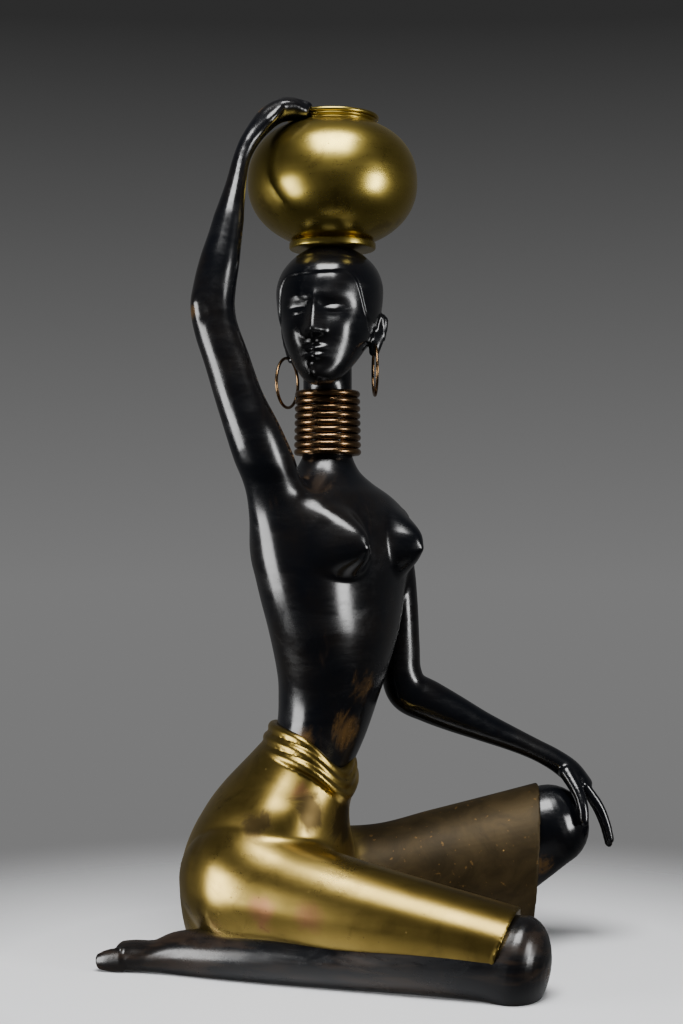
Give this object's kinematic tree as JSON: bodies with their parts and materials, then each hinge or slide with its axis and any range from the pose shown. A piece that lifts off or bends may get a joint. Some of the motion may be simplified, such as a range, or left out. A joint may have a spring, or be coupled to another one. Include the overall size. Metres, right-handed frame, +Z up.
{
  "type": "kneeling water bearer figure",
  "caption": "Cast metal figure kneeling with one knee raised, a hand on the knee and the other steadying a pot on its head; stands as a decorative sculpture.",
  "frame": {"origin": "centre of the footprint's bounding box, on the ground under the figure", "axes": "+Z up; +X the way the knees point; -Y the display front, towards which the chest and face turn"},
  "size_m": [0.3908, 0.2504, 0.6417],
  "materials": {
    "dark_bronze": "cast bronze with a polished near-black patina, worn to copper on high spots",
    "brass": "satin olive-gold brass with small pits and darker smudges",
    "copper_brass": "satin brown coppery brass, dull green in the gaps"
  },
  "bodies": {
    "root": {"upper_body": "dark_bronze", "skirt": "brass", "right_lower_leg": "dark_bronze", "left_lower_leg": "dark_bronze", "water_pot": "brass", "earring_right": "copper_brass", "earring_left": "copper_brass", "neck_ring_1": "copper_brass", "neck_ring_2": "copper_brass", "neck_ring_3": "copper_brass", "neck_ring_4": "copper_brass", "neck_ring_5": "copper_brass", "neck_ring_6": "copper_brass", "neck_ring_7": "copper_brass", "neck_ring_8": "copper_brass", "neck_ring_9": "copper_brass"}
  },
  "joints": []
}
